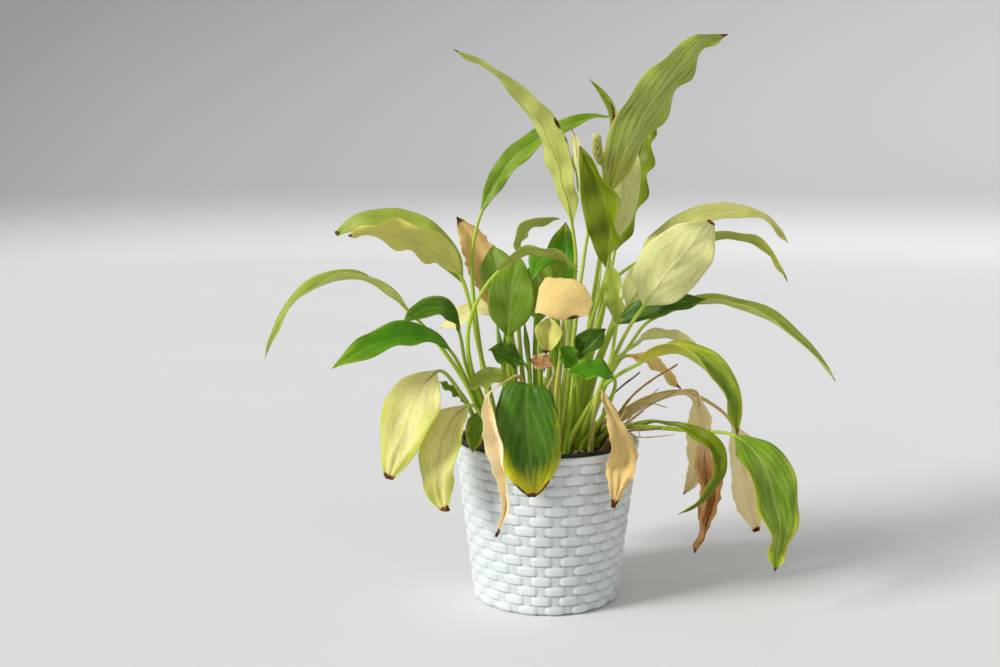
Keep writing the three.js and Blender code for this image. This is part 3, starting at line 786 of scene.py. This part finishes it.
def matched(ring, last):
    """The ring turned, and flipped if need be, to lie over the last one."""
    ways = (ring, ring[::-1])
    options = [np.roll(way, shift, axis=0) for way in ways for shift in range(RING_POINTS)]
    goal = last - last.mean(0)
    return min(options, key=lambda option: np.sum((option - option.mean(0) - goal) ** 2))


def widest_first(rings):
    """The rings turned so that each begins at its left edge, which lies furthest from its right one."""
    spans = np.linalg.norm(rings - np.roll(rings, -RIGHT_EDGE, axis=1), axis=2).sum(0)
    return np.roll(rings, -int(np.argmax(spans)), axis=1)


def rings_of(node, level):
    """The rings of points that a leaf was lofted through, from its foot at height level, and its tip."""
    places, near = solid_of(node)
    ring = set(np.argsort(np.abs(places[:, 2] - level))[:RING_POINTS].tolist())
    seen = set(ring)
    foot = places[sorted(ring)]
    angles = np.arctan2(*(foot - foot.mean(0))[:, 1::-1].T)
    rings = [foot[np.argsort(angles)]]
    while True:
        ring = {q for p in ring for q in near[p]} - seen
        seen |= ring
        if len(ring) < RING_POINTS:
            break
        rings.append(matched(places[round_trip(ring, near)], rings[-1]))
    return widest_first(np.array(rings)), places[ring.pop()]


# Leaves

def middle_sheet(rings, tip):
    """Five points across the middle of the blade's skin at each ring, closing on the tip."""
    left, left_half, rib, right_half, right, keel = np.moveaxis(rings, 1, 0)
    near_left = (left_half + (left + keel) / 2) / 2
    near_right = (right_half + (right + keel) / 2) / 2
    sheet = np.stack([left, near_left, (rib + keel) / 2, near_right, right], 1)
    return np.concatenate([sheet, np.tile(tip, (1, COARSE_COLUMNS, 1))])


def sheet_normals(sheet):
    """The way the upper side faces at each point of a grid that runs foot to tip, left to right."""
    return unit(np.cross(np.gradient(sheet, axis=1), np.gradient(sheet, axis=0)))


def half_widths(sheet):
    return np.linalg.norm(sheet[:, -1] - sheet[:, 0], axis=1) / 2


def width_shares(along, across, look):
    """How much of the solid's width the blade keeps at each point."""
    width = 1 - look["slim"] * smooth(along, *SLIM_OVER) + look["full"] * smooth(along, *FULL_OVER)
    width = width * (1 - look["thin"] * smooth(1 - along, *THIN_OVER))
    sides = np.where(across < 0, *RAGGED_SIDES)
    tears = np.sin(RAGGED_LONG * along + sides) * np.sin(RAGGED_SHORT * along - sides)
    return width * (1 - look["ragged"] * np.abs(tears))


def blade_sheet(rings, tip, look):
    """A fine grid over the blade with each point's share along and across it."""
    coarse = middle_sheet(rings, tip)
    length = lengths_along(coarse[:, 2])[-1]
    rows = int(np.clip(round(length / BLADE_STEP), *BLADE_ROWS))
    across = np.linspace(-1, 1, BLADE_COLUMNS)
    wide = curve(np.linspace(-1, 1, COARSE_COLUMNS), np.moveaxis(coarse, 1, 0), across)
    along = np.linspace(0, look["cut"], rows)
    sheet = curve(np.linspace(0, 1, len(coarse)), np.moveaxis(wide, 0, 1), along)
    along, across = along[:, None], across[None, :]
    rib = sheet[:, MIDDLE_COLUMN][:, None]
    sheet = rib + (sheet - rib) * width_shares(along, across, look)[:, :, None]
    return sheet, along, across, length


def wilted(sheet, along, across, length, look, rng):
    """The blade with its veins, wavy margins, crumples, pleats and coiled tip."""
    half = half_widths(sheet)[:, None]
    grown = smooth(along, 0.0, FLAT_FOOT) * smooth(1 - along, 0.0, FLAT_TIP)
    phase = (along - VEIN_SWEEP * np.abs(across) ** VEIN_BEND) * VEINS
    lift = look["ribs"] * np.abs(np.sin(math.pi * phase)) * (1 - across ** VEIN_REACH)
    sides = np.where(across < 0, rng.uniform(0, ANY_PHASE), rng.uniform(0, ANY_PHASE))
    drift, drift_pitch = WAVE_DRIFT
    uneven = drift * np.sin(drift_pitch * along + sides)
    swing = np.sin(FULL_TURN * look["waves"] * along + sides + uneven)
    lift = lift + look["wave"] * np.abs(across) ** WAVE_REACH * swing
    crumples = ripples(rng, along * length / MM, across * half / MM, CRINKLE_WAVES, CRINKLE_PITCH)
    lift = lift + look["crinkle"] * crumples
    drift, drift_pitch = PLEAT_DRIFT
    folds = np.sin(PLEATS * across + drift * np.sin(drift_pitch * along))
    lift = lift + look["pleats"] * folds * smooth(along, *PLEATS_OVER)
    sheet = sheet + sheet_normals(sheet) * (lift * MM * grown)[:, :, None]
    return coiled(sheet, along, length, look) if look["coil"] else sheet


def coiled(sheet, along, length, look):
    """The blade with the last share of its length rolled up."""
    from_row = int(np.argmax(along[:, 0] > 1 - look["coil"] - COIL_EARLY))
    middle = sheet[:, MIDDLE_COLUMN]
    ahead = unit(middle[from_row] - middle[from_row - 2])
    up = sheet_normals(sheet)[from_row, MIDDLE_COLUMN]
    radius = look["coil_size"] / 2 * MM
    past = (along - along[from_row, 0]) * length
    turn = np.clip(past * COIL_TIGHTNESS / radius, 0, None)
    rolled = middle[from_row] + radius * (np.sin(turn) * ahead + (1 - np.cos(turn)) * up)
    moved = sheet + (rolled - middle)[:, None]
    return np.where((np.arange(len(sheet)) > from_row)[:, None, None], moved, sheet)


def leaf_flags(along, across, look):
    """How aged and how scorched each point of the blade is."""
    age = look["age"] + look["edge"] * np.abs(across) ** EDGE_REACH * smooth(along, *EDGE_OVER)
    age = age + look["far"] * smooth(along, *FAR_OVER) + look["near"] * smooth(1 - along, *NEAR_OVER)
    scorch = np.zeros(np.broadcast(along, across).shape)
    if look["tip"]:
        scorch = scorch + TIP_START + (along - 1 + look["tip"]) / look["tip"] * TIP_RISE
    if look["burn"]:
        edge = (np.abs(across) - 1 + look["burn"]) / look["burn"] * BURN_RISE + BURN_START
        scorch = np.maximum(scorch, edge * smooth(along, *BURN_OVER))
    for place, side, size in look["spots"]:
        distance = np.hypot(along - place, (across - side) * SPOT_SQUEEZE)
        scorch = np.maximum(scorch, SPOT_START - SPOT_FALL * distance / size)
    return age, np.clip(scorch, 0, SCORCH_MOST)


def skin_faces(rows, columns):
    """Faces of two grids of points, one above the other, closed all round their border."""
    count = rows * columns
    faces = [face[::-1] for face in grid_faces(rows, columns)] + grid_faces(rows, columns, count)
    left = np.arange(rows) * columns
    border = np.concatenate([
        left, left[-1] + np.arange(1, columns), left[::-1][1:] + columns - 1, np.arange(columns - 2, 0, -1),
    ])
    ahead = np.roll(border, -1)
    return faces + np.stack([border, ahead, ahead + count, border + count], 1)[:, ::-1].tolist()


def blade_mesh(sheet, along, across, look):
    """The blade as a thin closed skin: points, faces and flags."""
    rows, columns = sheet.shape[:2]
    normal = sheet_normals(sheet)
    thick = BLADE_THICK / 2 * (1 - MARGIN_THINNER * np.abs(across) ** THINNER_REACH)[:, :, None]
    points = np.concatenate([sheet + normal * thick, sheet - normal * thick]).reshape(-1, 3)
    age, scorch = leaf_flags(along, across, look)
    wide_enough = smooth(half_widths(sheet), *VEINS_SHOW)[:, None]
    flags = {"under": np.repeat([0.0, 1.0], rows * columns)}
    on_both_sides = dict(
        along=along, across=across, age=age, scorch=scorch, open=wide_enough, stem=0.0, lines=look["lines"],
    )
    for key, values in on_both_sides.items():
        flags[key] = np.tile(np.broadcast_to(values, (rows, columns)).ravel(), 2)
    return points, skin_faces(rows, columns), flags


def stem_line(rings, sheet):
    """The petiole's middle line from below the soil, going on under the blade as its midrib, with the
    distance along it of each place and of the blade's beginning."""
    middle = (rings[:, RIB] + rings[:, KEEL]) / 2
    foot = middle[0] - [0, 0, ROOT_DEPTH]
    sunk = RIB_SINK * STEM_TOP * np.linspace(1, RIB_SINK_END, len(sheet))[:, None]
    rib = (sheet[:, MIDDLE_COLUMN] - sheet_normals(sheet)[:, MIDDLE_COLUMN] * sunk)[::RIB_SKIP]
    knots = np.vstack([[foot], middle, rib])
    measure = lengths_along(knots)
    places = even_places(measure, STEM_STEP)
    return curve(measure, knots, places), places, measure[len(middle) + 1]


def stem_flags(share, **known):
    """The flags of points at a share of the way along a leaf: what is known of them, and zeros."""
    values = {**dict.fromkeys(LEAF_FLAGS, 0.0), **known, "along": share}
    return {key: np.broadcast_to(value, share.shape) for key, value in values.items()}


def stem_mesh(rings, sheet, along, look):
    """The petiole and the midrib: points, faces and flags."""
    path, places, blade_from = stem_line(rings, sheet)
    blade_length = places[-1] - blade_from
    rib_from = blade_from + RIB_TAPER * blade_length
    knees = [0, STEM_WAIST * blade_from, blade_from, rib_from, places[-1]]
    radii = np.interp(places, knees, [STEM_FOOT, STEM_MIDDLE, STEM_TOP, RIB_START, RIB_END])
    points, faces = tube(path, radii, STEM_SIDES)
    reach = along[::RIB_SKIP][-1, 0]
    share = np.repeat(reach * np.clip((places - blade_from) / blade_length, 0, 1), STEM_SIDES)
    _, scorch = leaf_flags(share[:, None], np.zeros((1, 1)), look)
    flags = stem_flags(
        share, under=1.0, stem=1 - smooth(share, *RIB_LEAFY_OVER) * RIB_LEAFY, age=look["age"],
        scorch=scorch.ravel(), lines=look["lines"] * smooth(share, *RIB_LINES_OVER),
    )
    return points, faces, flags


def leaf_piece(node, level, look, rng, start=None):
    """One leaf. Its blade begins at the ring start, or where the solid is narrowest."""
    rings, tip = rings_of(node, level)
    if start is None:
        start = 1 + int(np.argmin(half_widths(rings[1:, LEFT_EDGE:KEEL])))
    sheet, along, across, length = blade_sheet(rings[start:], tip, look)
    sheet = wilted(sheet, along, across, length, look, rng)
    points, faces, flags = blade_mesh(sheet, along, across, look)
    if start:
        *stem, more_flags = stem_mesh(rings[:start], sheet, along, look)
        points, faces = joined([(points, faces), stem])
        flags = {key: np.concatenate([flags[key], more_flags[key]]) for key in flags}
    flags["seed"] = np.full(len(points), rng.uniform(0, STREAK_SEEDS))
    name = node.replace("_leaf", "_foliage")
    stand_for(node, name, points, faces, leaf_paints[look["paint"]], flags)


# Pot, liner and soil

def weave_relief(angle, share):
    """How far the woven pattern stands out, 0 to 1, at an angle round the pot and a share of its height."""
    row = np.clip(np.floor(share * WEAVE_ROWS), 0, WEAVE_ROWS - 1)
    up = np.abs((share * WEAVE_ROWS - row) * 2 - 1)
    column = (angle - WEAVE_PHASE) / FULL_TURN * WEAVE_COLUMNS
    side = np.abs((column - row + 1) % 2 - 1)
    pillow = 1 - (side / PILLOW_HALF) ** WEAVE_SQUARENESS - up ** WEAVE_SQUARENESS
    upright = 1 - ((1 - side) / UPRIGHT_HALF) ** WEAVE_SQUARENESS
    pillow = np.sqrt(np.clip(pillow, 0, 1))
    upright = np.sqrt(np.clip(upright, 0, 1))
    return np.maximum(pillow, UPRIGHT_RELIEF * upright)


def pot_foot(low):
    """The radius at which the pot's wall would meet the table if its foot were not rounded."""
    data = np.array([v.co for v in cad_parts["pot"].data.vertices])
    standing = data[np.abs(data[:, 2] - low.z) < MERGE]
    return np.hypot(*standing[:, :2].T).max() + POT_FOOT_ROUND


def woven_wall(foot, rim, height, sides):
    """Radius, height and relief of the woven wall, row by row up to the rim band."""
    levels = np.linspace(0, 1, WEAVE_ROWS * ROW_STEPS + 1)[:, None]
    relief = weave_relief(round_angles(sides)[None, :], np.clip(levels, 0, WEAVE_TOP))
    z = levels * (height - RIM_BAND)
    wall = foot + (rim - foot) * z / height
    down = np.clip(POT_FOOT_ROUND - z, 0, None)
    rounding = POT_FOOT_ROUND - np.sqrt(POT_FOOT_ROUND ** 2 - down ** 2)
    return wall - rounding - WEAVE_RELIEF * (1 - relief), z, relief


def rim_and_inside(foot, rim, height):
    """The pot's outline from the top of the weave over the rim and down to the middle of its floor."""
    top = height - RIM_BAND
    inner = rim - POT_WALL
    floor = foot - POT_WALL - WEAVE_RELIEF
    return [
        *[(rim - inset * MM, top + up * MM) for inset, up in BAND_FOOT],
        (rim, height - RIM_ROUND), (rim - RIM_CORNER, height - RIM_CORNER), (rim - RIM_ROUND, height),
        (inner + RIM_ROUND, height), (inner + RIM_CORNER, height - RIM_CORNER), (inner, height - RIM_ROUND),
        (inner - POT_LIP_INSET, height - POT_LIP_DEPTH),
        (floor, POT_FLOOR + POT_CORNER), (floor - POT_CORNER, POT_FLOOR), (CENTRE_HOLE, POT_FLOOR),
    ]


def pot_piece():
    """The white pot: its hollowed underside, its woven wall, its rim band and its inside."""
    low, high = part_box("pot")
    rim, height = high.x, high.z
    foot = pot_foot(low)
    sides = WEAVE_COLUMNS * COLUMN_STEPS
    under_radius, under_z = columns_of([
        (CENTRE_HOLE, POT_HOLLOW), (foot - POT_FOOT_RING, POT_HOLLOW),
        (foot - POT_FOOT_ROUND - WEAVE_RELIEF, 0),
    ])
    wall_radius, wall_z, relief = woven_wall(foot, rim, height, sides)
    inner_radius, inner_z = columns_of(rim_and_inside(foot, rim, height))
    radius = np.concatenate([under_radius.repeat(sides, 1), wall_radius, inner_radius.repeat(sides, 1)])
    points, faces = turned(radius, np.concatenate([under_z, wall_z, inner_z]), sides)
    groove = np.zeros(radius.shape)
    groove[len(under_z):-len(inner_z)] = 1 - relief
    faces = closed(faces, len(points), sides)
    stand_for("pot", "woven_pot", points, faces, pot_material(), {"groove": groove.ravel()})


def liner_piece():
    """The grower's black pot, with its lip above the white rim."""
    low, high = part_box("grower_pot")
    rim, top = high.x, high.z
    foot = low.z
    inside = foot + LINER_FLOOR
    profile = [
        (CENTRE_HOLE, foot),
        *[(rim - inset * MM, foot + up * MM) for inset, up in LINER_FOOT],
        *[(rim - inset * MM, top - down * MM) for inset, down in LINER_LIP],
        (rim - LINER_FOOT[0][0] * MM, inside), (CENTRE_HOLE, inside),
    ]
    points, faces = turned(*columns_of(profile), LINER_SIDES)
    stand_for("grower_pot", "black_liner", points, faces, liner_material())


def soil_piece(rng):
    """The lumpy soil, lower at its edge, with a plain underside."""
    _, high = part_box("soil")
    share = np.linspace(SOIL_CENTRE, 1, SOIL_RINGS)[:, None]
    angles = round_angles(SOIL_SIDES)[None, :]
    radius = share * (high.x + SOIL_OVERLAP)
    x, y = radius * np.sin(angles), -radius * np.cos(angles)
    lumps, clods, grit = (size * ripples(rng, x / MM, y / MM, *waves) for size, *waves in SOIL_LAYERS)
    rough = (lumps + clods + np.abs(grit)) * MM * SOIL_ROUGHNESS
    z = high.z - SOIL_DROP + rough - SOIL_EDGE_DROP * smooth(share, *SOIL_EDGE_OVER)
    points = np.stack([x, y, z], -1).reshape(-1, 3)
    under = points[-SOIL_SIDES:] * SOIL_UNDER - [0, 0, SOIL_DEPTH]
    points = np.concatenate([points, under])
    faces = [face[::-1] for face in grid_faces(SOIL_RINGS + 1, SOIL_SIDES, wrap=True)]
    stand_for("soil", "soil_surface", points, closed(faces, len(points), SOIL_SIDES), soil_material())


# Flower and stalks

def stalk_path(node, level):
    """A stalk's centre line from below the soil to its tip, with its radius at each place."""
    rings, tip = rings_of(node, level)
    knots = np.vstack([[rings[0].mean(0) - [0, 0, ROOT_DEPTH]], rings.mean(1), [tip]])
    measure = lengths_along(knots)
    places = even_places(measure, STALK_STEP)
    radius = np.linalg.norm(rings - rings.mean(1, keepdims=True), axis=2).mean(1)
    radii = np.interp(places, measure, [radius[0], *radius, radius[-1] * STALK_TIP])
    return curve(measure, knots, places), radii


def bump_ball():
    """A small round bump about the origin."""
    tilt = np.linspace(BUMP_CAP, math.pi - BUMP_CAP, BUMP_ROWS)[:, None]
    turn = round_angles(BUMP_SIDES)[None, :]
    x, y = np.sin(tilt) * np.cos(turn), np.sin(tilt) * np.sin(turn)
    z = np.broadcast_to(-np.cos(tilt), x.shape)
    points = np.stack([x, y, z], -1).reshape(-1, 3) * BUMP_RADIUS
    return points, closed(grid_faces(BUMP_ROWS, BUMP_SIDES, wrap=True), len(points), BUMP_SIDES)


def flower_piece(level):
    """The stalk and its thick spike, which is covered in small round flowers."""
    path, radii = stalk_path("flower_stalk", level)
    meshes = [tube(path, radii * SPIKE_SLIM, STEM_SIDES)]
    flags = [np.zeros(len(meshes[0][0]))]
    spike = int(np.argmax(radii > SPIKE_SWELLS * radii[len(radii) // 2]))
    measure = lengths_along(path[spike:])
    ball, ball_faces = bump_ball()
    for k in range(SPIKE_BUMPS):
        at = measure[-1] * (k + 0.5) / SPIKE_BUMPS
        centre = np.array([np.interp(at, measure, path[spike:, axis]) for axis in range(3)])
        radius = np.interp(at, measure, radii[spike:])
        turn = k * GOLDEN_TURN
        outward = np.array([math.cos(turn), math.sin(turn), 0.0])
        meshes.append((centre + outward * radius * BUMP_PLACE + ball, ball_faces))
        flags.append(np.full(len(ball), 0.0 if k % SPENT_EVERY else SPENT_SHARE))
    flags = {"scorch": np.concatenate(flags)}
    stand_for("flower_stalk", "flower_spike", *joined(meshes), spike_material(), flags)


def stalk_piece(node, level, name, material, rng):
    """A dry stalk whose leaf is gone."""
    path, radii = stalk_path(node, level)
    knobs = ripples(rng, lengths_along(path) / MM, 0.0, STALK_WAVES, STALK_PITCH)
    points, faces = tube(path, radii * (1 + STALK_KNOBS * knobs), STEM_SIDES)
    stand_for(node, name, points, faces, material)


# Slender things

def young_stems(level, rng):
    """Petioles of leaves still rolled up, as one piece."""
    meshes, shares = [], []
    for foot_x, foot_y, x, y, z in YOUNG_STEMS:
        foot = np.array([foot_x * MM, foot_y * MM, level - ROOT_DEPTH])
        tip = np.array([x, y, z]) * MM
        bow = np.array([*rng.uniform(-YOUNG_BOW, YOUNG_BOW, 2), 0]) * MM
        bend = foot * YOUNG_BEND + tip * (1 - YOUNG_BEND) + bow
        path = smooth_path(np.array([foot, bend, tip]), STEM_STEP)
        share = np.linspace(0, 1, len(path))
        meshes.append(tube(path, np.interp(share, YOUNG_KNEES, YOUNG_RADII), STEM_SIDES))
        shares.append(np.repeat(share, STEM_SIDES))
    share = np.concatenate(shares)
    flags = stem_flags(share, stem=1 - smooth(share, *YOUNG_OPENS_OVER), age=YOUNG_AGE, seed=share)
    piece = make("young_stems", *joined(meshes), leaf_paints["fresh"], flags)
    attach(piece, "root")


def dry_strands(level):
    """Thin dry leaf bases and roots around the foot of the clump, as one piece."""
    meshes = []
    for knots in DRY_STRANDS:
        path = smooth_path(np.array(knots) * MM + [0, 0, level], STALK_STEP)
        meshes.append(tube(path, np.linspace(*STRAND_RADII, len(path)), STRAND_SIDES))
    piece = make("dry_strands", *joined(meshes), dry_material("dry_strands", *STRAND_TONES))
    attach(piece, "root")


# Stage

def floor_piece():
    turn = np.linspace(0, math.pi / 2, FLOOR_RINGS)
    radius = FLOOR_FLAT + FLOOR_CURVE * np.sin(turn)
    height = FLOOR_CURVE * (1 - np.cos(turn))
    profile = [(FLOOR_CENTRE, 0.0), *zip(radius, height)]
    points, faces = turned(*columns_of(profile), FLOOR_SIDES)
    faces.append(list(range(FLOOR_SIDES)))
    make("floor", points, faces, floor_material())


def broad_light(name, comes_from, width, strength):
    light = bpy.data.lights.new(name, "SUN")
    light.angle = math.radians(width)
    light.energy = strength
    lamp = put_in_scene(name, light)
    lamp.rotation_euler = (-Vector(comes_from)).to_track_quat("-Z", "Y").to_euler()


def sky():
    world = bpy.data.worlds.new("studio")
    world.use_nodes = True
    background = world.node_tree.nodes["Background"]
    background.inputs["Color"].default_value = colour(*SKY)
    background.inputs["Strength"].default_value = SKY_STRENGTH
    bpy.context.scene.world = world


def camera():
    data = bpy.data.cameras.new("camera")
    data.lens = CAMERA_LENS
    data.sensor_width = CAMERA_SENSOR
    eye = put_in_scene("camera", data)
    eye.location = CAMERA_PLACE
    eye.rotation_euler = (math.radians(90 - CAMERA_TILT_DOWN), 0, 0)
    bpy.context.scene.camera = eye


# Building it all

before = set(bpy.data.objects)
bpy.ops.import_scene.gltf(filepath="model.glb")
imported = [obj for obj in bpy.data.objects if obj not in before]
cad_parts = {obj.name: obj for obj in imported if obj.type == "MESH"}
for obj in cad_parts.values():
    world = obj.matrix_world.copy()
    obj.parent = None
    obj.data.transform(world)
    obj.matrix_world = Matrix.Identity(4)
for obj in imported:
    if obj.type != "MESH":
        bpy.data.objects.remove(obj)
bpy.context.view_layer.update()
rng = np.random.default_rng(SEED)
camera()
sky()
for name, settings in LIGHTS.items():
    broad_light(name, *settings)
floor_piece()

soil_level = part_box("soil")[1].z + FOOT_GAP
leaf_paints = {paint: leaf_material("leaf_" + paint, paint) for paint in PAINTS}
for node in sorted(LEAF_LOOKS):
    leaf_piece(node, soil_level, {**PLAIN, **LEAF_LOOKS[node]}, rng)
leaf_piece("flower_hood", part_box("flower_hood")[0].z, {**PLAIN, **HOOD_LOOK}, rng, start=0)
flower_piece(soil_level)
for node, name, light, dark in STALKS:
    stalk_piece(node, soil_level, name, dry_material(name, light, dark), rng)
young_stems(soil_level, rng)
dry_strands(soil_level)
pot_piece()
liner_piece()
soil_piece(rng)

bpy.context.scene.view_settings.view_transform = "Standard"
bpy.context.view_layer.update()
